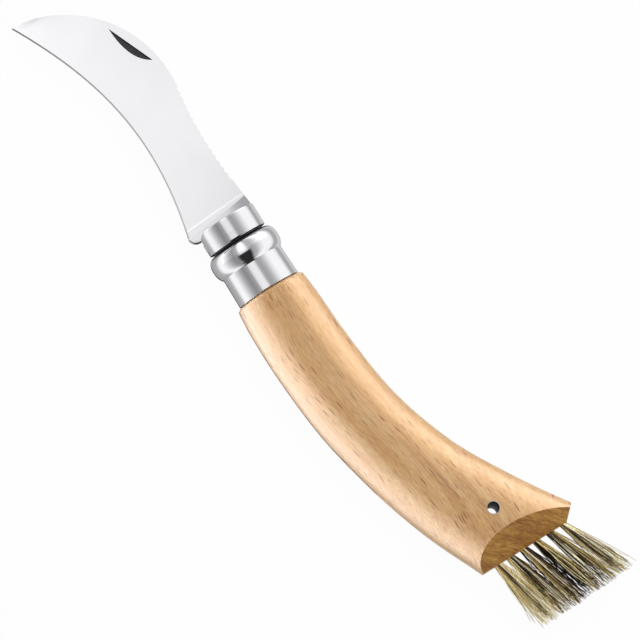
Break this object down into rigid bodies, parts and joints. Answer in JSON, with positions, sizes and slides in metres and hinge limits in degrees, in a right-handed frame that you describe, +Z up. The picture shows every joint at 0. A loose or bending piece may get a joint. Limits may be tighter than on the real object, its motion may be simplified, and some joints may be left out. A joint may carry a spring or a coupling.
{
  "type": "folding mushroom knife",
  "caption": "Folding mushroom knife: hooked blade with scalloped spine, turning locking ring on a beaded steel collar, curved wooden handle, lanyard eyelet and a row of bristle tufts.",
  "frame": {"origin": "centre of the bounding box of the open knife, on the surface that it lies on", "axes": "+X along the collar's axis from the blade to the brush, +Y towards the spine side, +Z up from the side it lies on to the side with the nail nick"},
  "size_m": [0.2208, 0.0662, 0.0222],
  "materials": {
    "blade_steel": "fine satin stainless steel",
    "collar_steel": "polished stainless steel",
    "pin_steel": "turned steel",
    "beech": "varnished beech",
    "eyelet_metal": "satin drawn tube",
    "boar_bristle": "natural boar bristle, straw to dark brown",
    "anchor_wire": "flat steel wire"
  },
  "bodies": {
    "handle": {"handle": "beech", "fixed_collar": "collar_steel", "pivot_pin": "pin_steel", "lanyard_eyelet": "eyelet_metal", "bristle_row": "boar_bristle", "tuft_anchor_1": "anchor_wire", "tuft_anchor_2": "anchor_wire", "tuft_anchor_3": "anchor_wire", "tuft_anchor_4": "anchor_wire", "tuft_anchor_5": "anchor_wire", "tuft_anchor_6": "anchor_wire"},
    "blade": {"blade": "blade_steel"},
    "ring": {"locking_ring": "collar_steel"}
  },
  "joints": [
    {"name": "blade_fold", "type": "hinge", "parent": "handle", "child": "blade", "pos_m": [-0.0293, -0.01358, 0.01111], "axis": [0, 0, 1], "range_deg": [0, 173]},
    {"name": "lock_turn", "type": "hinge", "parent": "handle", "child": "ring", "pos_m": [-0.0298, -0.01118, 0.01111], "axis": [-1, 0, 0], "range_deg": [0, 88]}
  ]
}
